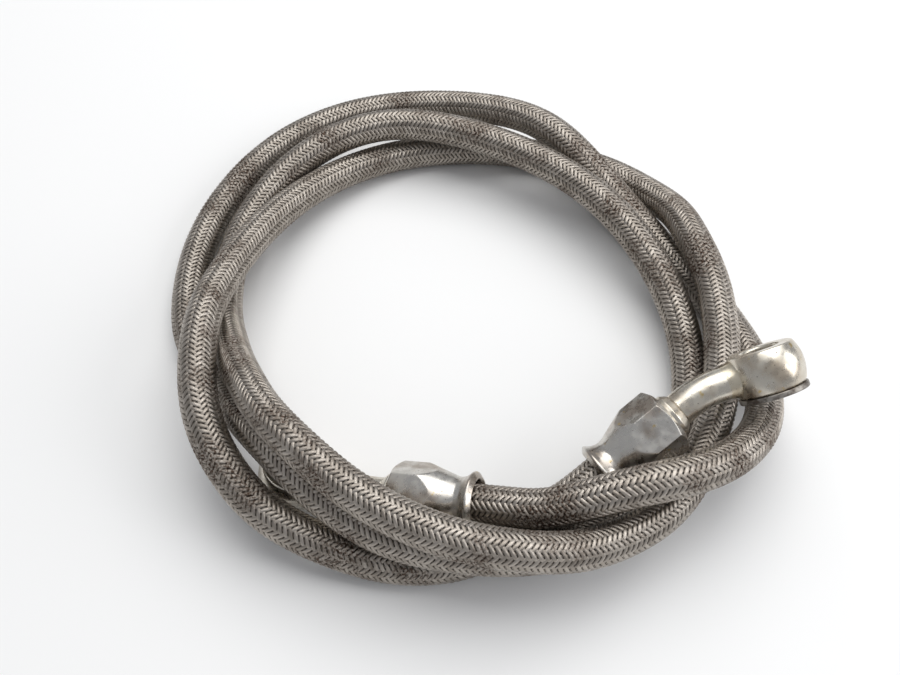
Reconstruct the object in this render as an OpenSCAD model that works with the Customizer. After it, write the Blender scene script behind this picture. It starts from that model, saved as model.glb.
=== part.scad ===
// Coiled hydraulic hose with a stainless-steel wire braid and a screwed banjo end on each side.
// The hose lies in loose turns on the ground plane z = 0. Millimetres and degrees, +Z up.

/* [Hose] */
// Outer diameter of the wire braid
hose_d = 11; // [9:0.5:11]
// Outer diameter of the smooth inner tube
liner_d = 9.5; // [8.8:0.1:9.5]
// Bore of the inner tube
liner_bore_d = 8; // [8:0.2:8.4]
// Flat sides of each swept tube
hose_sides = 10; // [8:1:12]

/* [Socket nut] */
// Length of the nut from bell mouth to hex end
nut_l = 25; // [25:0.5:26]
// Width of the hex across its flats
nut_af = 17.5; // [17.5:0.1:18.5]
// Largest diameter of the rolled bell lip
lip_d = 17.4; // [16.8:0.2:17.4]
// Diameter of the waist behind the lip
waist_d = 13.8; // [13.4:0.2:14.4]

/* [Banjo end] */
// Outer diameter of the bent neck
neck_d = 9.5; // [8:0.5:9.5]
// Bore of the neck and nipple
fluid_bore_d = 5; // [4:0.5:5]
// Angle of the bend in the neck
neck_bend = 20; // [10:1:25]
// Largest diameter of the barrel-shaped eye
eye_d = 20.8; // [20:0.2:21]
// Diameter of the eye's flat faces
eye_face_d = 17; // [16.6:0.2:17.4]
// Height of the eye between its faces
eye_h = 12; // [11:0.5:12]
// Bore of the eye, for a 10 mm banjo bolt
eye_bore_d = 10.2; // [10.1:0.1:10.5]
// Outer diameter of the crush washer
washer_d = 19.2; // [18.4:0.2:19.6]
// Thickness of the crush washer
washer_t = 1.5; // [1:0.1:1.6]

/* [Lay of the coil] */
// Heading and climb of end A, from its bell mouth towards its eye
end_a_heading = 34; // [31:1:36]
// Climb of end A above level
end_a_climb = 21.5; // [20:0.5:23]
// Turn of end A's eye about the hose axis
end_a_roll = -63; // [-66:1:-58]
// Heading of end B, from its bell mouth towards its eye
end_b_heading = 167; // [165:1:169]
// Climb of end B, which slopes down
end_b_climb = -15; // [-16:1:-14]
// Turn of end B's eye about the hose axis
end_b_roll = 186; // [180:1:190]

/* [Hidden] */
$fn = 64;
slack = 0.05;
hose_r = hose_d / 2;
braid_t = 0.6;
braid_bore_r = hose_r - braid_t;

// Stations along the axis of an end, measured from its bell mouth towards the eye.
braid_end = 13.6;
olive_start = 14;
olive_l = 3.8;
liner_end = 17.6;
thread_start = 18;
collar_l = 1.2;
cone_l = 1.8;
neck_start = nut_l + collar_l + cone_l;
neck_corner = nut_l + 10.7;
neck_bend_r = 30;
eye_reach = 19.2;

// Radii inside the socket nut and on the nipple.
thread_r = 6.3;
chamber_r = 6.6;
hose_entry_r = hose_r + 0.35;
nose_r = 3.6;
olive_tip_r = 5.3;
olive_foot_r = 6.2;
braze_r = 5.9;

// Centre of the coil in plan, and the two bell mouths as offsets from it.
coil_centre = [-4.4, 7, 0];
mouth_a = [41, -72.4, 17.6];
mouth_b = [7.9, -80.5, 16.4];

// Route of the hose from end A, turn after turn clockwise: [angle, radius, lift off the ground].
route_polar = [
    [-72, 84, 4], [-84, 92, 0], [-95, 95, 0], [-105, 96, 1.5], [-120, 98, 9], [-130, 95, 14],
    [-140, 91, 18], [-150, 84, 20.5], [-160, 78, 21], [-170, 73, 18], [-190, 66, 12], [-210, 64, 6.5],
    [-230, 64, 2.5], [-250, 65, 0], [-270, 65, 0], [-290, 68, 0], [-310, 75, 0], [-320, 79, 0],
    [-330, 81, 2], [-340, 82, 7], [-350, 80, 11.5], [-360, 82, 12], [-370, 85, 11], [-390, 93, 11],
    [-410, 101.5, 11], [-420, 102.5, 12.5], [-430, 102.5, 15], [-440, 100, 21.5], [-450, 96, 23.5], [-460, 91, 25],
    [-470, 86, 26], [-480, 82, 29], [-490, 79, 27.5], [-500, 75, 22.5], [-510, 73, 15], [-520, 72, 8.5],
    [-530, 73, 4.5], [-550, 75, 1], [-570, 76, 3], [-590, 75, 8.5], [-610, 71, 12], [-630, 63, 12],
    [-650, 58, 12], [-670, 57, 12], [-690, 59, 12], [-710, 65, 9], [-730, 75, 4], [-750, 86, 0],
    [-770, 95, 0], [-790, 97, 4], [-800, 97, 10.5], [-810, 95, 12], [-820, 93, 12.5], [-830, 89, 14.5],
    [-840, 85, 17.5], [-850, 82, 17], [-860, 80, 10], [-870, 79, 4], [-880, 82, 1], [-890, 86, 0],
    [-910, 88, 0], [-930, 90, 0], [-950, 93, 0], [-970, 92, 0], [-990, 86, 2.5], [-1010, 77, 10.5],
    [-1025, 70, 13], [-1040, 68, 7], [-1055, 70, 2], [-1070, 75, 0], [-1080, 83, 0], [-1090, 92, 0],
    [-1100, 101, 3], [-1110, 106, 10], [-1120, 106, 18], [-1130, 102, 24], [-1140, 95, 26]
];
// Where the hose runs straight out of each bell mouth.
straight_a = [0, 12];
straight_b = [20, 10, 0];

// --- Hose ---

function unit(v) = v / norm(v);
function heading(azimuth, climb) =
    [cos(climb) * cos(azimuth), cos(climb) * sin(azimuth), sin(climb)];
function on_coil(p) = [p[1] * cos(p[0]), p[1] * sin(p[0]), hose_r + p[2]];

axis_a = heading(end_a_heading, end_a_climb);
axis_b = heading(end_b_heading, end_b_climb);

// Corner points of the centre line; each tube reaches "depth" into both nuts.
function corners(depth) = [
    mouth_a + depth * axis_a,
    for (s = straight_a) mouth_a - s * axis_a,
    for (p = route_polar) on_coil(p),
    for (s = straight_b) mouth_b - s * axis_b,
    mouth_b + depth * axis_b
];

// The corners rounded off: where a cubic B-spline over them has its knots.
function rounded(line) = [
    line[0],
    for (i = [1 : len(line) - 2]) (line[i - 1] + 4 * line[i] + line[i + 1]) / 6,
    line[len(line) - 1]
];

function route(depth) = rounded(corners(depth));

// Direction of the line at point i: halfway between the stretches on its two sides.
function stretch(line, i) = unit(line[i + 1] - line[i]);
function tangent(line, i) =
    unit(stretch(line, max(i - 1, 0)) + stretch(line, min(i, len(line) - 2)));

// One ring of points round the line, square to it, starting on its upper side.
function ring(line, i, r) =
    let (along = tangent(line, i), side = unit(cross(along, [0, 0, 1])), up = cross(side, along))
    [for (k = [0 : hose_sides - 1]) line[i] + r * (cos(360 * k / hose_sides) * up + sin(360 * k / hose_sides) * side)];

// Two triangles between corners a, b of one ring and c, d of the next.
function quad(a, b, c, d) = [[a, b, c], [b, d, c]];

// Pipe of outer radius r_out and bore radius r_in along the line.
module swept_pipe(line, r_out, r_in) {
    last = len(line) - 1;
    bore = (last + 1) * hose_sides;
    points = [
        for (r = [r_out, r_in]) for (i = [0 : last]) each ring(line, i, r)
    ];
    faces = [
        for (i = [0 : last - 1]) for (k = [0 : hose_sides - 1])
            let (a = i * hose_sides + k, b = i * hose_sides + (k + 1) % hose_sides)
            each concat(
                quad(b, a, b + hose_sides, a + hose_sides),
                quad(bore + a + hose_sides, bore + a, bore + b + hose_sides, bore + b)
            ),
        for (k = [0 : hose_sides - 1])
            let (a = k, b = (k + 1) % hose_sides)
            each quad(a, b, bore + a, bore + b),
        for (k = [0 : hose_sides - 1])
            let (a = last * hose_sides + k, b = last * hose_sides + (k + 1) % hose_sides)
            each quad(b, a, bore + b, bore + a)
    ];
    translate(coil_centre) polyhedron(points = points, faces = faces);
}

module wire_braid() {
    color([0.45, 0.42, 0.39]) swept_pipe(route(braid_end), hose_r, braid_bore_r);
}

module hose_liner() {
    color([0.92, 0.92, 0.9]) swept_pipe(route(liner_end), liner_d / 2, liner_bore_d / 2);
}

// --- Ends ---

// Puts a piece drawn along +Z from its bell mouth on end A, or on end B.
module at_end_a() {
    translate(coil_centre + mouth_a)
        rotate([0, 90 - end_a_climb, end_a_heading]) rotate([0, 0, end_a_roll]) children();
}

module at_end_b() {
    translate(coil_centre + mouth_b)
        rotate([0, 90 - end_b_climb, end_b_heading]) rotate([0, 0, end_b_roll]) children();
}

// Frame of the eye: origin in its middle, +X away from the neck, +Z along its bore.
module at_eye() {
    translate([eye_reach * sin(neck_bend), 0, neck_corner + eye_reach * cos(neck_bend)])
        rotate([0, neck_bend - 90, 0]) children();
}

// Soft brass ring that grips the liner when the nut is tightened.
module olive() {
    color([0.78, 0.62, 0.3]) translate([0, 0, olive_start]) difference() {
        cylinder(h = olive_l, r1 = olive_tip_r, r2 = olive_foot_r);
        translate([0, 0, -1]) cylinder(h = olive_l + 2, r = liner_d / 2 + slack);
    }
}

// Outside of the nut as a turned shape: rolled lip, waist, long cone, chamfered end.
module nut_outline() {
    lip_r = lip_d / 2;
    waist_r = waist_d / 2;
    corner_r = nut_af / sqrt(3);
    rotate_extrude() polygon([
        [0, 0], [7.1, 0], [7.9, 0.3], [8.5, 0.9], [lip_r, 1.7], [8.5, 2.6],
        [7.9, 3.4], [7.3, 4.3], [waist_r, 5.7], [corner_r + 0.2, 16.3],
        [corner_r + 0.2, nut_l - 1.9], [corner_r - 0.1, nut_l - 1.9], [7.6, nut_l], [0, nut_l]
    ]);
}

// Inside of the nut: flared hose entry, chamber for the olive, threaded bore.
module nut_bore() {
    rotate_extrude() polygon([
        [0, -1], [7.2, -1], [6.7, 0.4], [6.1, 2], [hose_entry_r, 4], [hose_entry_r, olive_start - 0.6],
        [chamber_r, olive_start + 0.4], [chamber_r, thread_start + 0.6],
        [thread_r + slack, thread_start + 1], [thread_r + slack, nut_l + 1], [0, nut_l + 1]
    ]);
}

module socket_nut(hex_turn) {
    color([0.62, 0.6, 0.57]) difference() {
        intersection() {
            nut_outline();
            rotate([0, 0, hex_turn]) cylinder(h = nut_l, r = nut_af / sqrt(3), $fn = 6);
        }
        nut_bore();
    }
}

// Nose inside the liner, threaded body inside the nut, collar and cone outside it.
module hose_nipple() {
    color([0.66, 0.62, 0.55]) difference() {
        rotate_extrude() polygon([
            [0, 7], [nose_r - 0.5, 7], [nose_r, 9], [nose_r, thread_start], [thread_r, thread_start],
            [thread_r, nut_l + collar_l], [neck_d / 2, neck_start], [0, neck_start]
        ]);
        translate([0, 0, 6]) cylinder(h = neck_start, d = fluid_bore_d);
    }
}

// Centre line of the neck as solids of one diameter: straight, bend, straight.
module neck_path(d) {
    tangent_l = neck_bend_r * tan(neck_bend / 2);
    arc_start = neck_corner - tangent_l;
    translate([0, 0, neck_start]) cylinder(h = arc_start - neck_start, d = d);
    translate([neck_bend_r, 0, arc_start]) rotate([0, 0, 180]) rotate([90, 0, 0])
        rotate_extrude(angle = neck_bend) translate([neck_bend_r, 0]) circle(d = d);
    translate([0, 0, neck_corner]) rotate([0, neck_bend, 0]) translate([0, 0, tangent_l])
        cylinder(h = eye_reach - tangent_l - eye_face_d / 2 + 0.4, d = d);
}

module neck_tube() {
    color([0.6, 0.58, 0.55]) difference() {
        neck_path(neck_d);
        neck_path(fluid_bore_d);
    }
}

// Barrel with flat faces; its side is one arc.
module eye_barrel() {
    half_h = eye_h / 2;
    bulge = (eye_d - eye_face_d) / 2;
    side_r = (half_h * half_h + bulge * bulge) / (2 * bulge);
    rotate_extrude() intersection() {
        translate([eye_d / 2 - side_r, 0]) circle(r = side_r);
        translate([0, -half_h]) square([eye_d, eye_h]);
    }
}

module banjo_eye() {
    socket_x = eye_face_d / 2 - 0.4;
    color([0.6, 0.58, 0.55]) at_eye() difference() {
        eye_barrel();
        translate([0, 0, -eye_h]) cylinder(h = 2 * eye_h, d = eye_bore_d);
        translate([-socket_x, 0, 0]) rotate([0, -90, 0]) cylinder(h = 5, d = neck_d + 2 * slack);
        rotate([0, -90, 0]) cylinder(h = eye_d, d = fluid_bore_d);
    }
}

// Fillet of braze round the joint of neck and eye.
module braze_ring() {
    inner_x = 8.7;
    ring_l = 5.3;
    color([0.7, 0.6, 0.42]) at_eye() difference() {
        translate([-inner_x, 0, 0]) rotate([0, -90, 0]) cylinder(h = ring_l, r1 = braze_r, r2 = neck_d / 2 + 0.2);
        translate([-inner_x + 1, 0, 0]) rotate([0, -90, 0]) cylinder(h = ring_l + 2, r = neck_d / 2 + slack);
        eye_barrel();
    }
}

module crush_washer() {
    color([0.72, 0.56, 0.42]) at_eye() translate([0, 0, -eye_h / 2 - washer_t]) difference() {
        cylinder(h = washer_t, d = washer_d);
        translate([0, 0, -1]) cylinder(h = washer_t + 2, d = eye_bore_d);
    }
}

// Turn of each nut's hex about the hose axis.
hex_turn_a = 52;
hex_turn_b = 6;

wire_braid();
hose_liner();
at_end_a() olive();  // olive_a
at_end_a() socket_nut(hex_turn_a);  // socket_nut_a
at_end_a() hose_nipple();  // hose_nipple_a
at_end_a() neck_tube();  // neck_tube_a
at_end_a() braze_ring();  // braze_ring_a
at_end_a() banjo_eye();  // banjo_eye_a
at_end_a() crush_washer();  // crush_washer_a
at_end_b() olive();  // olive_b
at_end_b() socket_nut(hex_turn_b);  // socket_nut_b
at_end_b() hose_nipple();  // hose_nipple_b
at_end_b() neck_tube();  // neck_tube_b
at_end_b() braze_ring();  // braze_ring_b
at_end_b() banjo_eye();  // banjo_eye_b
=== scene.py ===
"""Looks for a coiled, wire-braided hose with a screwed banjo end on each side.

Every piece is a surface of two parameters, worked out with numpy in metres in the frame of the
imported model. It rides on the body of the node that it stands for.
"""

from __future__ import annotations

import logging
from dataclasses import dataclass, field
from enum import Enum
from math import atan, cos, pi, radians, sin, sqrt, tan

import bpy
import numpy as np
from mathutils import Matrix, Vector


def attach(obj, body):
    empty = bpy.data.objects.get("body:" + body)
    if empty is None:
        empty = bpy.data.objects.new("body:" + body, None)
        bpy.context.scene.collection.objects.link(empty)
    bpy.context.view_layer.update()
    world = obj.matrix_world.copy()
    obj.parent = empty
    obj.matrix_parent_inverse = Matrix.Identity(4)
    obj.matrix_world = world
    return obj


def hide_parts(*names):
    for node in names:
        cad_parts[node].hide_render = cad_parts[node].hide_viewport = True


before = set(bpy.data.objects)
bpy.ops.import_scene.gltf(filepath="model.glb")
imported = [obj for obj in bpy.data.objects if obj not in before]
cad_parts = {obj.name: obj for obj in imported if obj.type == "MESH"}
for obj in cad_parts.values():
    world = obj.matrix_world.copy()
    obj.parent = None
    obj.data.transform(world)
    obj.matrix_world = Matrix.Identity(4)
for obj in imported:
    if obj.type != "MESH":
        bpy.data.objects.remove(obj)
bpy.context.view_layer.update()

logging.basicConfig(level=logging.INFO, format="%(message)s")
log = logging.getLogger("hose")

Array = np.ndarray
MM = 0.001

# Driving sizes of the hose and its ends, as in the part's own source.
HOSE_RADIUS = 5.5 * MM
COIL_CENTRE = np.array([-0.0044, 0.007, 0.0])
MOUTH_A = np.array([0.0410, -0.0724, 0.0176])
MOUTH_B = np.array([0.0079, -0.0805, 0.0164])
STRAIGHT_A = (0.0, 0.012)
STRAIGHT_B = (0.020, 0.010, 0.0)
BRAID_END = 13.6 * MM
LINER_END = 17.6 * MM

# Route of the hose from end A, turn after turn clockwise: angle, radius, lift off the ground.
ROUTE_POLAR = (
    (-72, 0.084, 0.004), (-84, 0.092, 0), (-95, 0.095, 0), (-105, 0.096, 0.0015),
    (-120, 0.098, 0.009), (-130, 0.095, 0.014), (-140, 0.091, 0.018), (-150, 0.084, 0.0205),
    (-160, 0.078, 0.021), (-170, 0.073, 0.018), (-190, 0.066, 0.012), (-210, 0.064, 0.0065),
    (-230, 0.064, 0.0025), (-250, 0.065, 0), (-270, 0.065, 0), (-290, 0.068, 0),
    (-310, 0.075, 0), (-320, 0.079, 0), (-330, 0.081, 0.002), (-340, 0.082, 0.007),
    (-350, 0.080, 0.0115), (-360, 0.082, 0.012), (-370, 0.085, 0.011), (-390, 0.093, 0.011),
    (-410, 0.1015, 0.011), (-420, 0.1025, 0.0125), (-430, 0.1025, 0.015), (-440, 0.100, 0.0215),
    (-450, 0.096, 0.0235), (-460, 0.091, 0.025), (-470, 0.086, 0.026), (-480, 0.082, 0.029),
    (-490, 0.079, 0.0275), (-500, 0.075, 0.0225), (-510, 0.073, 0.015), (-520, 0.072, 0.0085),
    (-530, 0.073, 0.0045), (-550, 0.075, 0.001), (-570, 0.076, 0.003), (-590, 0.075, 0.0085),
    (-610, 0.071, 0.012), (-630, 0.063, 0.012), (-650, 0.058, 0.012), (-670, 0.057, 0.012),
    (-690, 0.059, 0.012), (-710, 0.065, 0.009), (-730, 0.075, 0.004), (-750, 0.086, 0),
    (-770, 0.095, 0), (-790, 0.097, 0.004), (-800, 0.097, 0.0105), (-810, 0.095, 0.012),
    (-820, 0.093, 0.0125), (-830, 0.089, 0.0145), (-840, 0.085, 0.0175), (-850, 0.082, 0.017),
    (-860, 0.080, 0.010), (-870, 0.079, 0.004), (-880, 0.082, 0.001), (-890, 0.086, 0),
    (-910, 0.088, 0), (-930, 0.090, 0), (-950, 0.093, 0), (-970, 0.092, 0),
    (-990, 0.086, 0.0025), (-1010, 0.077, 0.0105), (-1025, 0.070, 0.013), (-1040, 0.068, 0.007),
    (-1055, 0.070, 0.002), (-1070, 0.075, 0), (-1080, 0.083, 0), (-1090, 0.092, 0),
    (-1100, 0.101, 0.003), (-1110, 0.106, 0.010), (-1120, 0.106, 0.018), (-1130, 0.102, 0.024),
    (-1140, 0.095, 0.026),
)


# --- Numbers to meshes ---


def unit(v: Array) -> Array:
    """Vectors scaled to length one, along the last axis."""
    return v / np.linalg.norm(v, axis=-1, keepdims=True)


def grid_quads(rows: int, cols: int, close_rows: bool, close_cols: bool) -> Array:
    """Faces of a grid of points, each joining a point, the next in its row, and the two after them.

    Args:
        rows: Number of rows of points.
        cols: Number of points in a row.
        close_rows: Whether the last row joins the first.
        close_cols: Whether the last point of a row joins its first.

    Returns:
        Indices of four points for each face.
    """
    r = np.arange(rows if close_rows else rows - 1)[:, None]
    c = np.arange(cols if close_cols else cols - 1)[None, :]
    here, below = r * cols, (r + 1) % rows * cols
    across = (c + 1) % cols
    return np.stack([here + c, here + across, below + across, below + c], -1).reshape(-1, 4)


@dataclass
class Surface:
    """A grid of points with its faces, and what is known at each point.

    Attributes:
        points: Points, rows by columns by three.
        close_rows: Whether the last row joins the first.
        close_cols: Whether the last point of a row joins its first.
        along: Distance along the piece at each point, for its UV map.
        across: Share of the way round or across at each point, for its UV map.
        marks: Named values at each point that a finish reads.
    """

    points: Array
    close_rows: bool = False
    close_cols: bool = True
    along: Array | None = None
    across: Array | None = None
    marks: dict[str, Array] = field(default_factory=dict)

    def quads(self) -> Array:
        """Faces of the grid."""
        rows, cols = self.points.shape[:2]
        return grid_quads(rows, cols, self.close_rows, self.close_cols)

    def caps(self) -> Array:
        """One face on each open end of a tube, turned outwards.

        Returns:
            Point indices of the first and of the last row, or none if the rows are closed.
        """
        rows, cols = self.points.shape[:2]
        if self.close_rows:
            return np.zeros((0, cols), int)
        first = np.arange(cols)[::-1]
        last = (rows - 1) * cols + np.arange(cols)
        return np.stack([first, last])


def joined(surfaces: list[Surface]) -> tuple[Array, Array, list[Array]]:
    """Numbers the points and faces of several surfaces as one mesh.

    Args:
        surfaces: Surfaces to put together.

    Returns:
        All points, all quads, and the end faces.
    """
    starts = np.cumsum([0] + [s.points.shape[0] * s.points.shape[1] for s in surfaces])
    points = np.concatenate([s.points.reshape(-1, 3) for s in surfaces])
    quads = np.concatenate([s.quads() + n for s, n in zip(surfaces, starts)])
    caps = [cap + n for s, n in zip(surfaces, starts) for cap in s.caps()]
    return points, quads, caps


def make_piece(name: str, surfaces: list[Surface], finish: bpy.types.Material) -> bpy.types.Object:
    """Turns surfaces into one smooth-shaded object at the origin.

    Args:
        name: Name of the new piece.
        surfaces: Surfaces that form it.
        finish: Material on all of it.

    Returns:
        The object, linked into the scene.
    """
    points, quads, caps = joined(surfaces)
    corners = np.concatenate([quads.ravel(), *caps]).astype(np.int32)
    sizes = np.array([4] * len(quads) + [len(cap) for cap in caps], np.int32)
    mesh = bpy.data.meshes.new(name)
    mesh.vertices.add(len(points))
    mesh.vertices.foreach_set("co", points.astype(np.float32).ravel())
    mesh.loops.add(len(corners))
    mesh.loops.foreach_set("vertex_index", corners)
    mesh.polygons.add(len(sizes))
    mesh.polygons.foreach_set("loop_start", (np.cumsum(sizes) - sizes).astype(np.int32))
    mesh.update(calc_edges=True)
    mesh.polygons.foreach_set("use_smooth", np.ones(len(sizes), bool))
    if surfaces[0].along is not None:
        place = np.stack([
            np.concatenate([s.across.ravel() for s in surfaces]),
            np.concatenate([s.along.ravel() for s in surfaces]),
        ], -1)
        layer = mesh.uv_layers.new(name="lay")
        layer.data.foreach_set("uv", place[corners].astype(np.float32).ravel())
    for mark in surfaces[0].marks:
        values = np.concatenate([s.marks[mark].ravel() for s in surfaces]).astype(np.float32)
        mesh.attributes.new(mark, "FLOAT", "POINT").data.foreach_set("value", values)
    mesh.materials.append(finish)
    piece = bpy.data.objects.new(name, mesh)
    bpy.context.scene.collection.objects.link(piece)
    log.info("%s: %d faces", name, len(sizes))
    return piece


# --- Lines that shapes are carried along ---


@dataclass(frozen=True)
class Line:
    """A line with a frame at each point, so that side, up and the way along are right-handed.

    Attributes:
        distance: Distance of each point along the line.
        origin: The points.
        side: Unit vector to the side at each point.
        up: Unit vector square to the side and to the line.
    """

    distance: Array
    origin: Array
    side: Array
    up: Array

    def _at(self, values: Array, s: Array) -> Array:
        """Values at distances s, straight between the known ones."""
        return np.stack([np.interp(s, self.distance, values[:, k]) for k in range(3)], -1)

    def place(self, s: Array, radius: Array, angle: Array) -> Array:
        """Points round the line.

        Args:
            s: Distance along the line.
            radius: Distance from the line.
            angle: Turn from the side towards up, in radians.

        Returns:
            The points, in the shape of the arguments.
        """
        turn = np.cos(angle)[..., None] * self._at(self.side, s)
        turn += np.sin(angle)[..., None] * self._at(self.up, s)
        return self._at(self.origin, s) + radius[..., None] * turn


def hose_line() -> Line:
    """Centre line of the hose, from inside nut A to inside nut B.

    The corner points are those of the route, with each end reflected about its last point. The
    line is the uniform cubic B-spline over them, and its frames stay level to the side.

    Returns:
        The line, with its distance measured from the cut end of the braid in nut A.
    """
    angle, radius, lift = np.array(ROUTE_POLAR, float).T
    angle = np.radians(angle)
    coil = np.stack([radius * np.cos(angle), radius * np.sin(angle), HOSE_RADIUS + lift], -1)
    axis_a, axis_b = END_A.axis(), END_B.axis()
    corners = np.concatenate([
        [MOUTH_A + BRAID_END * axis_a], [MOUTH_A - s * axis_a for s in STRAIGHT_A], coil,
        [MOUTH_B - s * axis_b for s in STRAIGHT_B], [MOUTH_B + BRAID_END * axis_b],
    ])
    corners = np.concatenate([
        [2 * corners[0] - corners[1]], corners, [2 * corners[-1] - corners[-2]],
    ])
    t = np.arange(16)[:, None] / 16
    weights = np.concatenate([
        (1 - t) ** 3, 3 * t**3 - 6 * t**2 + 4, -3 * t**3 + 3 * t**2 + 3 * t + 1, t**3,
    ], 1) / 6
    windows = np.stack([corners[k:len(corners) - 3 + k] for k in range(4)], 1)
    points = np.einsum("tk,wkx->wtx", weights, windows).reshape(-1, 3)
    points = np.concatenate([points, corners[-2:-1]]) + COIL_CENTRE
    distance = np.concatenate([[0], np.cumsum(np.linalg.norm(np.diff(points, axis=0), axis=1))])
    along = unit(np.gradient(points, axis=0))
    side = unit(np.cross([0, 0, 1], along))
    return Line(distance, points, side, np.cross(along, side))


@dataclass(frozen=True)
class EndPlace:
    """Where one end of the hose lies: its bell mouth, and how its axis and its eye are turned.

    Attributes:
        letter: Letter of the end, as in the names of its nodes.
        mouth: Bell mouth of the socket nut, as an offset from the coil's centre.
        heading: Heading of the axis towards the eye, in degrees.
        climb: Climb of the axis above level, in degrees.
        roll: Turn of the eye about the axis, in degrees.
        hex_turn: Turn of the nut's hex about the axis, in degrees.
    """

    letter: str
    mouth: Array
    heading: float
    climb: float
    roll: float
    hex_turn: float

    def turn(self) -> Array:
        """Matrix from the end's own frame, with Z along the axis, to the model's frame."""
        return turn_z(self.heading) @ turn_y(90 - self.climb) @ turn_z(self.roll)

    def axis(self) -> Array:
        """Unit vector from the bell mouth towards the eye."""
        return self.turn()[:, 2]

    def to_model(self, points: Array) -> Array:
        """Points of the end's own frame, in the model's frame."""
        return points @ self.turn().T + self.mouth + COIL_CENTRE

    def to_model_line(self, line: Line) -> Line:
        """A line of the end's own frame, in the model's frame."""
        turned = self.turn().T
        return Line(line.distance, self.to_model(line.origin), line.side @ turned, line.up @ turned)


def turn_z(angle: float) -> Array:
    """Matrix of a turn about Z, in degrees."""
    c, s = cos(radians(angle)), sin(radians(angle))
    return np.array([[c, -s, 0], [s, c, 0], [0, 0, 1]])


def turn_y(angle: float) -> Array:
    """Matrix of a turn about Y, in degrees."""
    c, s = cos(radians(angle)), sin(radians(angle))
    return np.array([[c, 0, s], [0, 1, 0], [-s, 0, c]])


END_A = EndPlace("a", MOUTH_A, 34, 21.5, -63, 52)
END_B = EndPlace("b", MOUTH_B, 167, -15, 186, 6)


def straight_line(origin: Array, side: Array, up: Array, length: float) -> Line:
    """A straight line with one frame all along it.

    Args:
        origin: Point at distance zero.
        side: Unit vector to the side.
        up: Unit vector square to the side.
        length: How far the line runs each way.

    Returns:
        The line.
    """
    along = np.cross(side, up)
    ends = np.array([-1.0, 1.0]) * length
    return Line(ends, origin + ends[:, None] * along, np.stack([side] * 2), np.stack([up] * 2))


# --- Outlines ---


def rounded_outline(corners: list[tuple[float, float]], radius: float, step: float) -> Array:
    """A closed outline with its corners rounded, as evenly spaced points.

    Each corner is a quadratic curve that leaves its two edges at the radius from it, or at 0.45
    of the shorter edge where that is less. Straight stretches join them.

    Args:
        corners: Corner points in order.
        radius: Distance from a corner at which its curve starts.
        step: Distance between points.

    Returns:
        Points of the outline, without the first again at the end.
    """
    p = np.array(corners, float)
    before, after = np.roll(p, 1, 0) - p, np.roll(p, -1, 0) - p
    shorter = np.minimum(np.linalg.norm(before, axis=1), np.linalg.norm(after, axis=1))
    reach = np.minimum(radius, 0.45 * shorter)[:, None]
    start, stop = p + reach * unit(before), p + reach * unit(after)
    t = np.linspace(0, 1, 9)[None, :, None]
    curves = (1 - t) ** 2 * start[:, None] + 2 * t * (1 - t) * p[:, None] + t**2 * stop[:, None]
    line = curves.reshape(-1, 2)
    line = np.concatenate([line, line[:1]])
    distance = np.concatenate([[0], np.cumsum(np.linalg.norm(np.diff(line, axis=0), axis=1))])
    spaced = np.linspace(0, distance[-1], max(int(distance[-1] / step), 12), endpoint=False)
    return np.stack([np.interp(spaced, distance, line[:, k]) for k in range(2)], -1)


def soft_min(a: Array, b: Array, blend: float) -> Array:
    """The smaller of two values, rounded off where they differ by less than the blend."""
    near = np.maximum(blend - np.abs(a - b), 0) / blend
    return np.minimum(a, b) - near * near * blend / 4


def turned(line: Line, outline: Array, turns: int = 96) -> Surface:
    """A turned shape: a closed outline of distance and radius, carried once round a line.

    Args:
        line: Axis of the shape, straight or bent.
        outline: Distance along the line and radius at each point, outer side first.
        turns: Number of points round the axis.

    Returns:
        The closed surface.
    """
    angle = np.linspace(0, 2 * pi, turns, endpoint=False)[None, :]
    s = np.broadcast_to(outline[:, :1], (len(outline), turns))
    radius = np.broadcast_to(outline[:, 1:], s.shape)
    angle = np.broadcast_to(angle, s.shape)
    return Surface(line.place(s, radius, angle), close_rows=True)


# --- Finishes ---


class Slot(Enum):
    """Material slots, one listed beside each piece of an end."""

    BRAID = "braid"
    LINER = "liner"
    NUT = "nut"
    TAIL = "tail"
    OLIVE = "olive"
    BRAZE = "braze"
    WASHER = "washer"


Colour = tuple[float, float, float]


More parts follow.
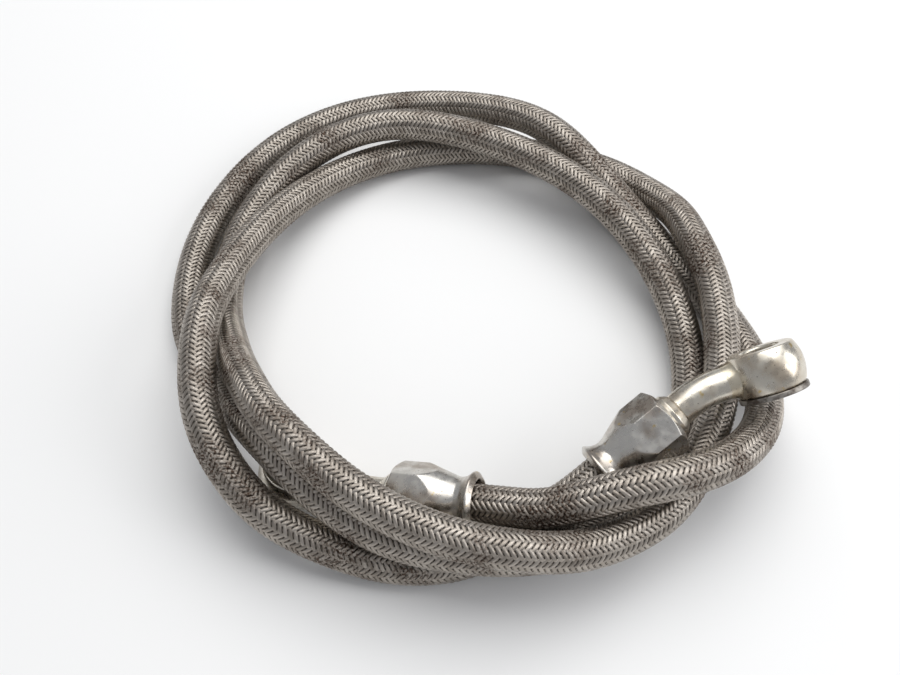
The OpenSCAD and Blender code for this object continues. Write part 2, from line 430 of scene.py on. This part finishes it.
@dataclass
class Nodes:
    """Builds the node tree of one material, with short calls for the nodes that finishes use."""

    material: bpy.types.Material

    @classmethod
    def fresh(cls, name: str) -> Nodes:
        """A new material that holds only a Principled shader and its output.

        Args:
            name: Name of the material.

        Returns:
            A builder for its nodes.
        """
        material = bpy.data.materials.new(name)
        material.use_nodes = True
        return cls(material)

    @property
    def shader(self) -> bpy.types.Node:
        """The Principled shader."""
        return self.material.node_tree.nodes["Principled BSDF"]

    def add(self, kind: str, **settings: object) -> bpy.types.Node:
        """A new node with its properties set.

        Args:
            kind: Blender's name for the kind of node.
            settings: Properties and their values.

        Returns:
            The node.
        """
        node = self.material.node_tree.nodes.new(kind)
        for key, value in settings.items():
            setattr(node, key, value)
        return node

    def link(self, source: bpy.types.NodeSocket, target: bpy.types.NodeSocket) -> None:
        """Joins an output to an input."""
        self.material.node_tree.links.new(source, target)

    def noise(self, scale: float, detail: float = 3.0, seed: float = 0.0) -> bpy.types.NodeSocket:
        """Noise on the piece's own place in the model.

        Args:
            scale: Number of features in a metre.
            detail: Number of finer layers.
            seed: Shift of the pattern, so that two layers differ.

        Returns:
            The noise value, about 0.5 in the middle.
        """
        place = self.add("ShaderNodeTexCoord")
        shift = self.add("ShaderNodeMapping")
        shift.inputs["Location"].default_value = (seed, seed * 0.7, seed * 1.3)
        noise = self.add("ShaderNodeTexNoise")
        noise.inputs["Scale"].default_value = scale
        noise.inputs["Detail"].default_value = detail
        self.link(place.outputs["Object"], shift.inputs["Vector"])
        self.link(shift.outputs["Vector"], noise.inputs["Vector"])
        return noise.outputs["Fac"]

    def mark(self, name: str) -> bpy.types.NodeSocket:
        """A named value of the mesh."""
        return self.add("ShaderNodeAttribute", attribute_name=name).outputs["Fac"]

    def span(self, value: bpy.types.NodeSocket, low: float, high: float, to_low: float = 0.0,
             to_high: float = 1.0) -> bpy.types.NodeSocket:
        """A value moved smoothly from one range to another, and held at its ends.

        Args:
            value: The value.
            low: Where the first range starts.
            high: Where the first range ends.
            to_low: Result at and below the start.
            to_high: Result at and above the end.

        Returns:
            The result.
        """
        node = self.add("ShaderNodeMapRange", interpolation_type="SMOOTHSTEP")
        node.inputs["From Min"].default_value = low
        node.inputs["From Max"].default_value = high
        node.inputs["To Min"].default_value = to_low
        node.inputs["To Max"].default_value = to_high
        self.link(value, node.inputs["Value"])
        return node.outputs["Result"]

    def product(self, a: bpy.types.NodeSocket, b: bpy.types.NodeSocket) -> bpy.types.NodeSocket:
        """Two values multiplied.

        Args:
            a: First value.
            b: Second value.

        Returns:
            Their product.
        """
        node = self.add("ShaderNodeMath", operation="MULTIPLY")
        self.link(a, node.inputs[0])
        self.link(b, node.inputs[1])
        return node.outputs[0]

    def mixed(self, share: bpy.types.NodeSocket, first: bpy.types.NodeSocket | Colour,
              second: Colour) -> bpy.types.NodeSocket:
        """Two colours mixed.

        Args:
            share: Share of the second colour, from 0 to 1.
            first: First colour, fixed or from another node.
            second: Second colour.

        Returns:
            The mixed colour.
        """
        node = self.add("ShaderNodeMix", data_type="RGBA")
        self.link(share, node.inputs[0])
        if isinstance(first, bpy.types.NodeSocket):
            self.link(first, node.inputs[6])
        else:
            node.inputs[6].default_value = (*first, 1)
        node.inputs[7].default_value = (*second, 1)
        return node.outputs[2]

    def bump(self, height: bpy.types.NodeSocket, depth: float, strength: float = 1.0,
             under: bpy.types.NodeSocket | None = None) -> bpy.types.NodeSocket:
        """A normal tilted by a height.

        Args:
            height: Height, from 0 to 1.
            depth: What a height of 1 is worth, in metres.
            strength: Share of the tilt that is used.
            under: Normal of a coarser layer below.

        Returns:
            The normal.
        """
        node = self.add("ShaderNodeBump")
        node.inputs["Strength"].default_value = strength
        node.inputs["Distance"].default_value = depth
        self.link(height, node.inputs["Height"])
        if under is not None:
            self.link(under, node.inputs["Normal"])
        return node.outputs["Normal"]

    def set(self, **values: object) -> None:
        """Sets the shader's inputs, or links them.

        Args:
            values: Number, colour or output for each input, with underscores for its spaces.
        """
        for key, value in values.items():
            socket = self.shader.inputs[key.replace("_", " ")]
            if isinstance(value, bpy.types.NodeSocket):
                self.link(value, socket)
            elif isinstance(value, tuple):
                socket.default_value = (*value, 1)
            else:
                socket.default_value = value


@dataclass(frozen=True)
class WireFinish:
    """Flat bundles of fine stainless wire, dulled by use and stained brown in patches."""

    clean: Colour = (0.44, 0.40, 0.355)
    dull: Colour = (0.22, 0.19, 0.16)
    stain: Colour = (0.085, 0.055, 0.04)
    wires: int = 7
    stain_size: float = 15 * MM

    def material(self) -> bpy.types.Material:
        """Wire colour by bundle, stains by place, and a fine groove between wires.

        Returns:
            The material.
        """
        n = Nodes.fresh("braid_wire")
        by_bundle = n.mixed(n.mark("bundle"), self.dull, self.clean)
        grime = n.span(n.noise(1 / self.stain_size, 4), 0.46, 0.64)
        speckle = n.span(n.noise(1600, 2, 5), 0.42, 0.62)
        stained = n.mixed(n.product(grime, speckle), by_bundle, self.stain)
        lay = n.add("ShaderNodeUVMap", uv_map="lay")
        wires = n.add("ShaderNodeTexWave", wave_type="BANDS", bands_direction="X")
        wires.inputs["Scale"].default_value = self.wires / 2
        n.link(lay.outputs["UV"], wires.inputs["Vector"])
        n.set(Base_Color=stained, Metallic=1.0, Roughness=n.span(grime, 0, 1, 0.34, 0.6),
              Normal=n.bump(wires.outputs["Fac"], 0.03 * MM, 0.5))
        return n.material


@dataclass(frozen=True)
class PlainFinish:
    """A plain surface with a little unevenness in its colour and its height."""

    name: str
    colour: Colour
    darker: Colour
    metallic: float
    roughness: float
    grain: float = 700
    depth: float = 0.02 * MM

    def material(self) -> bpy.types.Material:
        """Colour and height from one layer of noise each.

        Returns:
            The material.
        """
        n = Nodes.fresh(self.name)
        colour = n.mixed(n.span(n.noise(self.grain / 3, 4), 0.4, 0.65), self.colour, self.darker)
        n.set(Base_Color=colour, Metallic=self.metallic, Roughness=self.roughness,
              Normal=n.bump(n.noise(self.grain, 4, 3), self.depth, 0.6))
        return n.material


@dataclass(frozen=True)
class PlatedFinish:
    """Satin plated steel with broad tints, small brass-coloured spots, pits and handling marks."""

    name: str
    colour: Colour = (0.62, 0.60, 0.56)
    tint: Colour = (0.42, 0.37, 0.32)
    spot: Colour = (0.56, 0.44, 0.24)
    pit: Colour = (0.10, 0.07, 0.05)
    low: float = 0.22
    high: float = 0.40
    scratch: float = 0.35

    def material(self) -> bpy.types.Material:
        """Layers of noise for tint, spots, pits, roughness and fine dents.

        Returns:
            The material.
        """
        n = Nodes.fresh(self.name)
        colour = n.mixed(n.span(n.noise(140, 3), 0.42, 0.68), self.colour, self.tint)
        colour = n.mixed(n.span(n.noise(420, 2, 2), 0.66, 0.76), colour, self.spot)
        pits = n.span(n.noise(1500, 2, 9), 0.68, 0.76)
        colour = n.mixed(pits, colour, self.pit)
        # Darkens by the mesh's mark: real heat tint at the braze and neck, and on the eye a painted
        # dark reflection over the neck side.
        colour = n.mixed(n.mark("heat"), colour, (0.17, 0.115, 0.085))
        rough = n.span(n.noise(420, 5, 4), 0.35, 0.7, self.low, self.high)
        dents = n.bump(n.noise(260, 3, 6), 0.08 * MM, 0.35)
        n.set(Base_Color=colour, Metallic=1.0, Roughness=rough,
              Normal=n.bump(n.noise(2200, 4, 7), 0.01 * MM, self.scratch, dents))
        return n.material


# --- The hose ---


@dataclass
class BraidedHose:
    """The hose: a smooth liner, and a braid of flat wire bundles over it.

    Attributes:
        line: Centre line of the hose.
        bundles: Number of wire bundles that run each way round.
        lead: Length of hose in which a bundle goes once round.
        bundle_width: Width of a bundle.
        bundle_height: Thickness of a bundle at its middle.
        weave: Rise and fall of a bundle over and under those that cross it.
        samples: Points along a bundle for each over-and-under.
        group: Number of bundles in one piece.
        under_radius: Outer radius of the dark tube under the wire, which paints the shade in the
            gaps between bundles.
        under_height: Thickness of that layer.
        liner_radius: Outer radius of the liner.
        liner_bore: Radius of the liner's bore.
    """

    line: Line
    bundles: int = 14
    lead: float = 22.4 * MM
    bundle_width: float = 1.28 * MM
    bundle_height: float = 0.30 * MM
    weave: float = 0.15 * MM
    samples: int = 8
    group: int = 4
    under_radius: float = 4.95 * MM
    under_height: float = 0.15 * MM
    liner_radius: float = 4.75 * MM
    liner_bore: float = 4.0 * MM

    @property
    def length(self) -> float:
        """Length of the braid along the hose."""
        return float(self.line.distance[-1])

    @property
    def weave_period(self) -> float:
        """Length of hose in which a bundle goes over two others and under two."""
        return 4 * self.lead / (2 * self.bundles)

    def bundle(self, number: int, way: int, tint: float) -> Surface:
        """One bundle, as a flat-bottomed strip wound round the hose.

        Its middle is a helix of the lead. Across it, the strip runs square to the helix on the
        unrolled hose. Its height follows a cosine with one period for each over-two,
        under-two, in step with the bundles that cross it.

        Args:
            number: Number of the bundle, which sets where its helix starts.
            way: 1 for a right-hand helix, or -1 for a left-hand one.
            tint: Brightness of its wire, from 0 to 1.

        Returns:
            The strip, closed all round.
        """
        middle = HOSE_RADIUS - self.weave - self.bundle_height / 2
        slope = atan(2 * pi * middle / self.lead)
        rows = int(self.length / self.weave_period * self.samples)
        s = np.linspace(0, self.length, rows)[:, None]
        across = np.array([-1, -0.55, 0, 0.55, 1])[None, :]
        height = np.array([-0.5, 0.3, 0.5, 0.3, -0.5])[None, :] * self.bundle_height
        half = across * self.bundle_width / 2
        phase = 2 * number + way * 4 * s / self.weave_period
        wave = way * np.cos(pi / 2 * (phase - 0.5))
        radius = middle + self.weave * wave + height
        angle = way * 2 * pi * s / self.lead + 2 * pi * number / self.bundles
        angle = angle + half * cos(slope) / middle
        place = np.clip(s - way * half * sin(slope), 0, self.length)
        return Surface(
            self.line.place(place, radius, angle),
            along=np.broadcast_to(s / self.bundle_width, radius.shape),
            across=np.broadcast_to(across / 2 + 0.5, radius.shape),
            marks={"bundle": np.full(radius.shape, tint)},
        )

    def pipe(self, outer: float, inner: float, reach: float, turns: int) -> Surface:
        """A smooth pipe along the hose.

        Args:
            outer: Outer radius.
            inner: Radius of its bore.
            reach: How far it runs on past each end of the braid.
            turns: Number of points round it.

        Returns:
            The closed surface.
        """
        step = 2 * MM
        s = np.arange(-reach, self.length + reach + step / 2, step)
        outline = np.concatenate([
            np.stack([s, np.full(len(s), outer)], -1),
            np.stack([s[::-1], np.full(len(s), inner)], -1),
        ])
        return turned(self.run_on(reach), outline, turns)

    def run_on(self, reach: float) -> Line:
        """The hose's line, run on straight past both ends.

        Args:
            reach: How far it runs on.

        Returns:
            The longer line.
        """
        line = self.line
        first = line.origin[0] + unit(line.origin[0] - line.origin[1]) * reach
        last = line.origin[-1] + unit(line.origin[-1] - line.origin[-2]) * reach
        return Line(
            np.concatenate([[-reach], line.distance, [self.length + reach]]),
            np.concatenate([[first], line.origin, [last]]),
            np.concatenate([line.side[:1], line.side, line.side[-1:]]),
            np.concatenate([line.up[:1], line.up, line.up[-1:]]),
        )

    def build(self) -> list[bpy.types.Object]:
        """Makes the liner, a dark tube under the wire that paints the shade between bundles, and
        the braid in groups of bundles.

        Returns:
            The pieces, with the tube of painted shade first.
        """
        # Near-black tube under the bundles: painted shade in the gaps of the braid, where the pale
        # liner would otherwise show.
        shadow = PlainFinish("painted_shade_under_braid", (0.050, 0.038, 0.030), (0.022, 0.016, 0.013), 0.0, 0.8)
        painted_shade_pipe = self.pipe(self.under_radius, self.under_radius - self.under_height, 0, 32)
        under = make_piece("painted_shade_under_braid", [painted_shade_pipe], shadow.material())
        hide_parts("wire_braid")
        plastic = PlainFinish("liner", (0.86, 0.85, 0.82), (0.78, 0.76, 0.72), 0.0, 0.35)
        liner_pipe = self.pipe(self.liner_radius, self.liner_bore, LINER_END - BRAID_END, 32)
        liner = make_piece("liner", [liner_pipe], plastic.material())
        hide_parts("hose_liner")
        wire = WireFinish().material()
        tints = np.random.default_rng(7).uniform(0.35, 1.0, 2 * self.bundles)
        groups = []
        for way, name in ((1, "right"), (-1, "left")):
            for first in range(0, self.bundles, self.group):
                strips = [self.bundle(k, way, tints[k + (way < 0) * self.bundles])
                          for k in range(first, min(first + self.group, self.bundles))]
                groups.append(make_piece(f"braid_{name}_{first // self.group + 1}", strips, wire))
        for piece in (under, liner, *groups):
            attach(piece, "hose")
        return [under, liner, *groups]


# --- The screwed banjo ends ---


@dataclass
class BanjoEnd:
    """One end of the hose: socket nut, olive, nipple, neck, braze, eye and washer.

    Distances run along the end's axis from its bell mouth.

    Attributes:
        place: Where the end lies.
        washer: Whether a crush washer is stuck to its eye.
        nut_length: Length of the socket nut.
        across_flats: Width of its hex.
        neck_start: Where the neck tube leaves the nipple's cone.
        neck_corner: Where the neck's two straight stretches would meet.
        neck_bend: Bend of the neck, in degrees.
        bend_radius: Radius of that bend.
        neck_radius: Outer radius of the neck.
        bore_radius: Radius of its bore.
        eye_reach: Distance from the neck's corner to the middle of the eye.
        eye_radius: Largest radius of the eye.
        eye_face_radius: Radius of its flat faces.
        eye_height: Distance between its faces.
        eye_bore: Radius of its bore.
        washer_radius: Outer radius of the washer.
        washer_height: Thickness of the washer.
        thread_pitch: Pitch of the thread on the nipple.
    """

    place: EndPlace
    washer: bool
    nut_length: float = 25 * MM
    across_flats: float = 17.5 * MM
    neck_start: float = 28 * MM
    neck_corner: float = 35.7 * MM
    neck_bend: float = 20
    bend_radius: float = 30 * MM
    neck_radius: float = 4.75 * MM
    bore_radius: float = 2.5 * MM
    eye_reach: float = 19.2 * MM
    eye_radius: float = 10.4 * MM
    eye_face_radius: float = 8.9 * MM
    eye_height: float = 12 * MM
    eye_bore: float = 5.1 * MM
    washer_radius: float = 9.6 * MM
    washer_height: float = 1.5 * MM
    thread_pitch: float = 1.0 * MM

    def axis_line(self) -> Line:
        """The end's straight axis, in the model's frame."""
        line = straight_line(np.zeros(3), np.array([1.0, 0, 0]), np.array([0, 1.0, 0]), 0.1)
        return self.place.to_model_line(line)

    def neck_line(self) -> Line:
        """Centre line of the neck: along the axis, round the bend towards X, and straight on.

        On the bend, the turn at a distance is that distance over the bend radius. The line
        follows the sine of the turn along the axis and one less its cosine to the side.

        Returns:
            The line in the model's frame, with distance measured from the bell mouth.
        """
        bend = radians(self.neck_bend)
        start = self.neck_corner - self.bend_radius * tan(bend / 2)
        s = np.linspace(0, start + self.bend_radius * bend + 0.02, 400)
        turn = np.clip((s - start) / self.bend_radius, 0, bend)
        straight = np.maximum(s - start - self.bend_radius * bend, 0)
        x = self.bend_radius * (1 - np.cos(turn)) + straight * sin(bend)
        z = np.minimum(s, start) + self.bend_radius * np.sin(turn) + straight * cos(bend)
        zero = np.zeros_like(s)
        side = np.stack([np.cos(turn), zero, -np.sin(turn)], -1)
        up = np.broadcast_to([0.0, 1.0, 0.0], side.shape)
        return self.place.to_model_line(Line(s, np.stack([x, zero, z], -1), side, up))

    def eye_to_model(self, points: Array) -> Array:
        """Moves points from the eye's frame to the model's.

        Args:
            points: Points with X away from the neck and Z along the bore.

        Returns:
            The points in the model's frame.
        """
        bend = radians(self.neck_bend)
        past_corner = np.array([sin(bend), 0, cos(bend)]) * self.eye_reach
        middle = np.array([0, 0, self.neck_corner]) + past_corner
        return self.place.to_model(points @ turn_y(self.neck_bend - 90).T + middle)

    def eye_line(self) -> Line:
        """Axis of the eye's bore, measured from the middle of the eye."""
        origin, x, y = self.eye_to_model(np.array([[0.0, 0, 0], [1, 0, 0], [0, 1, 0]]))
        return straight_line(origin, x - origin, y - origin, 0.05)

    def barrel_radius(self, z: Array) -> Array:
        """Radius of the eye, whose side is one arc from face to face.

        Args:
            z: Height above its middle.

        Returns:
            The radius.
        """
        half, bulge = self.eye_height / 2, self.eye_radius - self.eye_face_radius
        arc = (half * half + bulge * bulge) / (2 * bulge)
        return self.eye_radius - arc + np.sqrt(arc * arc - z * z)

    def nut(self) -> Surface:
        """The socket nut: a turned outline cut by six flats, with soft edges.

        The radius at an angle is the smallest of the turned outline and the two nearest flats,
        each flat being the half width across flats over the cosine of the angle from it. The
        points round it are closest at the hex corners.

        Returns:
            The closed surface, with its bore.
        """
        corner = self.across_flats / sqrt(3)
        end = self.nut_length
        outside = [
            (0.0, 7.2 * MM), (1.2 * MM, 8.7 * MM), (1.8 * MM, 8.65 * MM), (2.8 * MM, 7.75 * MM),
            (4.0 * MM, 7.1 * MM), (5.4 * MM, 6.85 * MM), (6.6 * MM, 7.05 * MM),
            (16.3 * MM, corner + 0.2 * MM), (end - 1.9 * MM, corner + 0.2 * MM),
            (end - 1.5 * MM, corner - 0.2 * MM), (end, 7.6 * MM),
        ]
        inside = [
            (end, 6.4 * MM), (18.8 * MM, 6.4 * MM), (18.4 * MM, 6.6 * MM), (14.4 * MM, 6.6 * MM),
            (13.4 * MM, 5.85 * MM), (4 * MM, 5.85 * MM), (2 * MM, 6.1 * MM), (0.4 * MM, 6.7 * MM),
        ]
        outline = rounded_outline(outside + inside, 0.45 * MM, 0.13 * MM)
        flat = np.arange(6)[:, None] * 60
        fine = 30 * np.sin(pi / 2 * np.linspace(-1, 1, 24, endpoint=False))[None, :]
        angle = np.radians((flat + fine).ravel())[None, :]
        nearest = np.radians(np.abs(np.broadcast_to(fine, (6, 24)).ravel()))[None, :]
        half = self.across_flats / 2
        hexagon = soft_min(half / np.cos(nearest), half / np.cos(radians(60) - nearest), 0.14 * MM)
        radius = soft_min(outline[:, 1:], hexagon, 0.14 * MM)
        angle = angle + radians(self.place.hex_turn + 30)
        s = np.broadcast_to(outline[:, :1], radius.shape)
        points = self.axis_line().place(s, radius, np.broadcast_to(angle, radius.shape))
        return Surface(points, close_rows=True, marks={"heat": np.zeros(radius.shape)})

    def nipple(self) -> Surface:
        """The nipple: nose in the liner, threaded body in the nut, collar and cone outside it.

        On the threaded body, the radius falls by a triangle wave of the distance less the angle's
        share of a turn, which draws one helical thread.

        Returns:
            The closed surface, with its bore.
        """
        end = self.nut_length
        outline = rounded_outline([
            (7 * MM, 3.1 * MM), (9 * MM, 3.6 * MM), (18 * MM, 3.6 * MM), (18 * MM, 6.25 * MM),
            (end + 1.1 * MM, 6.3 * MM), (end + 1.3 * MM, 6.15 * MM), (self.neck_start, 4.85 * MM),
            (self.neck_start, 2.5 * MM), (7 * MM, 2.5 * MM),
        ], 0.25 * MM, 0.14 * MM)
        angle = np.linspace(0, 2 * pi, 96, endpoint=False)[None, :]
        s = np.broadcast_to(outline[:, :1], (len(outline), 96))
        turn = s / self.thread_pitch - angle / (2 * pi)
        groove = 0.55 * MM * np.abs(2 * (turn % 1) - 1)
        on_body = (outline[:, 1:] > 5.5 * MM) & (s > 18.3 * MM) & (s < end - 0.6 * MM)
        radius = outline[:, 1:] - np.where(on_body, groove, 0)
        points = self.axis_line().place(s, radius, np.broadcast_to(angle, s.shape))
        return Surface(points, close_rows=True, marks={"heat": np.zeros(s.shape)})

    def neck(self) -> Surface:
        """The bent neck tube, a little uneven from its forming.

        Returns:
            The closed surface, with its bore.
        """
        bend = radians(self.neck_bend)
        length = self.neck_corner + self.eye_reach - 2 * self.bend_radius * tan(bend / 2)
        length += self.bend_radius * bend
        stop = length - self.eye_face_radius + 0.4 * MM
        s = np.arange(self.neck_start, stop, 0.3 * MM)[:, None]
        angle = np.linspace(0, 2 * pi, 96, endpoint=False)[None, :]
        uneven = 0.02 * MM * np.sin(2 * angle + 500 * s)
        uneven = uneven + 0.015 * MM * np.sin(3 * angle - 320 * s + 1)
        outer = self.neck_radius + uneven * (s > self.neck_start + 0.5 * MM)
        inner = np.full_like(outer, self.bore_radius)
        s = np.broadcast_to(s, outer.shape)
        both = np.concatenate([s, s[::-1]])
        radius = np.concatenate([outer, inner])
        points = self.neck_line().place(both, radius, np.broadcast_to(angle, radius.shape))
        near_eye = np.clip((both - stop + 6 * MM) / (5 * MM), 0, 1)
        return Surface(points, close_rows=True, marks={"heat": 0.35 * near_eye})

    def eye(self) -> Surface:
        """The barrel-shaped eye, with soft edges and a chamfered bore.

        Returns:
            The closed surface, marked darker on the side of the neck: partly heat tint, partly a
            painted dark reflection.
        """
        half = self.eye_height / 2
        z = np.linspace(-half, half, 13)
        side = list(zip(z, self.barrel_radius(z)))
        bore = [(half, self.eye_bore + 0.4 * MM), (half - 0.4 * MM, self.eye_bore),
                (0.4 * MM - half, self.eye_bore), (-half, self.eye_bore + 0.4 * MM)]
        outline = rounded_outline(side + bore, 0.5 * MM, 0.2 * MM)
        surface = turned(self.eye_line(), outline, 160)
        angle = np.linspace(0, 2 * pi, 160, endpoint=False)[None, :]
        # Neck side of the barrel darkened: partly heat tint, partly a painted dark reflection.
        towards_neck = np.clip((-np.cos(angle) - 0.1) / 0.8, 0, 1) ** 1.5
        surface.marks["heat"] = np.broadcast_to(towards_neck, surface.points.shape[:2]) * 0.8
        return surface

    def braze(self) -> Surface:
        """The fillet of braze between neck and eye.

        Its outside is a quarter of an ellipse for each angle round the neck: it leaves the neck
        along it, and meets the barrel square to it. Its back lies inside the neck and the eye.

        Returns:
            The closed surface.
        """
        foot, top, reach = self.neck_radius, 5.85 * MM, 13.9 * MM
        sunk = foot - 0.08 * MM
        t = np.linspace(0, pi / 2, 14)[:, None]
        angle = np.linspace(0, 2 * pi, 96, endpoint=False)[None, :]
        wave = 0.06 * MM * np.sin(5 * angle + 1) + 0.05 * MM * np.sin(9 * angle)
        barrel = self.barrel_radius(np.clip(top * np.sin(angle), -6 * MM, 6 * MM))
        contact = -np.sqrt(barrel**2 - (top * np.cos(angle)) ** 2)
        start = -reach + wave
        x = start + (contact - start) * np.sin(t)
        radius = np.broadcast_to(sunk + (top - sunk) * (1 - np.cos(t)), x.shape)
        back_x = np.concatenate([contact + 0.4 * MM, start + 0.1 * MM])
        back_radius = np.full_like(back_x, foot - 0.2 * MM)
        x, radius = np.concatenate([x, back_x]), np.concatenate([radius, back_radius])
        points = np.stack([x, radius * np.cos(angle), radius * np.sin(angle)], -1)
        heat = np.full(x.shape, 0.25)
        return Surface(self.eye_to_model(points), close_rows=True, marks={"heat": heat})

    def washer_ring(self) -> Surface:
        """The crush washer under the eye, with rounded edges.

        Returns:
            The closed surface.
        """
        face = -self.eye_height / 2
        low = face - self.washer_height
        outline = rounded_outline([
            (low, self.washer_radius), (face, self.washer_radius), (face, self.eye_bore),
            (low, self.eye_bore),
        ], 0.3 * MM, 0.15 * MM)
        return turned(self.eye_line(), outline, 128)

    def olive(self) -> Surface:
        """The olive: a soft cone that grips the liner."""
        outline = rounded_outline([
            (14 * MM, 5.3 * MM), (17.8 * MM, 6.2 * MM), (17.8 * MM, 4.8 * MM), (14 * MM, 4.8 * MM),
        ], 0.2 * MM, 0.15 * MM)
        return turned(self.axis_line(), outline)

    def build(self) -> list[bpy.types.Object]:
        """Makes all the pieces of the end, each on the body of its node.

        Returns:
            The pieces, from the nut to the eye.
        """
        letter = self.place.letter
        plated = PlatedFinish(f"nut_{letter}").material()
        stained = PlatedFinish(f"tail_{letter}", (0.66, 0.62, 0.54), (0.52, 0.45, 0.36)).material()
        braze = PlatedFinish(f"braze_{letter}", (0.66, 0.60, 0.48), (0.5, 0.42, 0.3)).material()
        brass = PlainFinish(f"brass_{letter}", (0.78, 0.60, 0.28), (0.62, 0.45, 0.2), 1.0, 0.3)
        rows = [
            ("socket_nut", self.nut(), plated, Slot.NUT, "nut"),
            ("olive", self.olive(), brass.material(), Slot.OLIVE, "hose"),
            ("hose_nipple", self.nipple(), stained, Slot.TAIL, "banjo"),
            ("neck_tube", self.neck(), stained, Slot.TAIL, "banjo"),
            ("braze_ring", self.braze(), braze, Slot.BRAZE, "banjo"),
            ("banjo_eye", self.eye(), stained, Slot.TAIL, "banjo"),
        ]
        if self.washer:
            soft = PlainFinish("washer", (0.34, 0.32, 0.29), (0.12, 0.10, 0.085), 1.0, 0.5,
                               grain=1500, depth=0.08 * MM)
            rows.append(("crush_washer", self.washer_ring(), soft.material(), Slot.WASHER, "banjo"))
        pieces = []
        for name, surface, finish, slot, body in rows:
            piece = make_piece(f"{name}_{letter}_shaped", [surface], finish)
            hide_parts(f"{name}_{letter}")
            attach(piece, body if body == "hose" else f"{body}_{letter}")
            pieces.append(piece)
        return pieces


# --- Camera, light and floor ---


@dataclass(frozen=True)
class Studio:
    """A camera above the front of the coil, soft light from above, and a pale floor.

    Attributes:
        elevation: Angle at which the camera looks down, in degrees.
        distance: Distance from the camera to what it looks at.
        aim_back: How far in front of the coil's centre it looks.
        lens: Focal length, in millimetres.
    """

    elevation: float = 56
    distance: float = 0.308
    aim_back: float = 0.015
    lens: float = 38

    def camera(self) -> None:
        """Sets the camera that looks down along +Y at the coil."""
        aim = Vector(COIL_CENTRE) + Vector((0, -self.aim_back, 0))
        back = Vector((0, -cos(radians(self.elevation)), sin(radians(self.elevation))))
        data = bpy.data.cameras.new("camera")
        data.lens, data.sensor_width = self.lens, 36
        data.clip_start, data.clip_end = 0.01, 20
        camera = bpy.data.objects.new("camera", data)
        camera.location = aim + back * self.distance
        camera.rotation_euler = (-back).to_track_quat("-Z", "Y").to_euler()
        bpy.context.scene.collection.objects.link(camera)
        bpy.context.scene.camera = camera

    def area_light(self, name: str, place: Colour, size: float, power: float,
                   colour: Colour) -> None:
        """A square area light that faces the coil.

        Args:
            name: Name of the light.
            place: Where it stands.
            size: Length of its side.
            power: Its power, in watts.
            colour: Its colour.
        """
        data = bpy.data.lights.new(name, "AREA")
        data.size, data.energy, data.color = size, power, colour
        light = bpy.data.objects.new(name, data)
        light.location = place
        light.rotation_euler = (-Vector(place)).to_track_quat("-Z", "Y").to_euler()
        bpy.context.scene.collection.objects.link(light)

    def lights(self) -> None:
        """One big soft light overhead, a smaller one to the right, and a pale sky all round."""
        self.area_light("overhead", (0.1, 0.45, 1.1), 1.3, 13, (1, 0.995, 0.98))
        self.area_light("right", (0.95, -0.1, 0.55), 0.7, 4.5, (0.99, 0.99, 1))
        world = bpy.data.worlds.new("sky")
        world.use_nodes = True
        world.node_tree.nodes["Background"].inputs["Color"].default_value = (0.93, 0.95, 1, 1)
        world.node_tree.nodes["Background"].inputs["Strength"].default_value = 0.42
        bpy.context.scene.world = world
        bpy.context.scene.view_settings.view_transform = "Standard"

    def floor(self) -> None:
        """A plain pale floor, just under the hose."""
        half, low = 1.5, -0.0001
        corners = [(-half, -half, low), (half, -half, low), (half, half, low), (-half, half, low)]
        mesh = bpy.data.meshes.new("floor")
        mesh.from_pydata(corners, [], [(0, 1, 2, 3)])
        n = Nodes.fresh("floor")
        n.set(Base_Color=(0.86, 0.86, 0.855), Roughness=0.55, Specular_IOR_Level=0.2)
        mesh.materials.append(n.material)
        floor = bpy.data.objects.new("floor", mesh)
        bpy.context.scene.collection.objects.link(floor)


def main() -> None:
    """Builds the studio, the hose and both ends."""
    studio = Studio()
    studio.camera()
    studio.lights()
    studio.floor()
    hose = BraidedHose(hose_line())
    hose_pieces = hose.build()
    log.info("hose length %.4f m", hose.length)
    BanjoEnd(END_A, washer=True).build()
    end_b_pieces = BanjoEnd(END_B, washer=False).build()


if __name__ == "__main__":
    main()
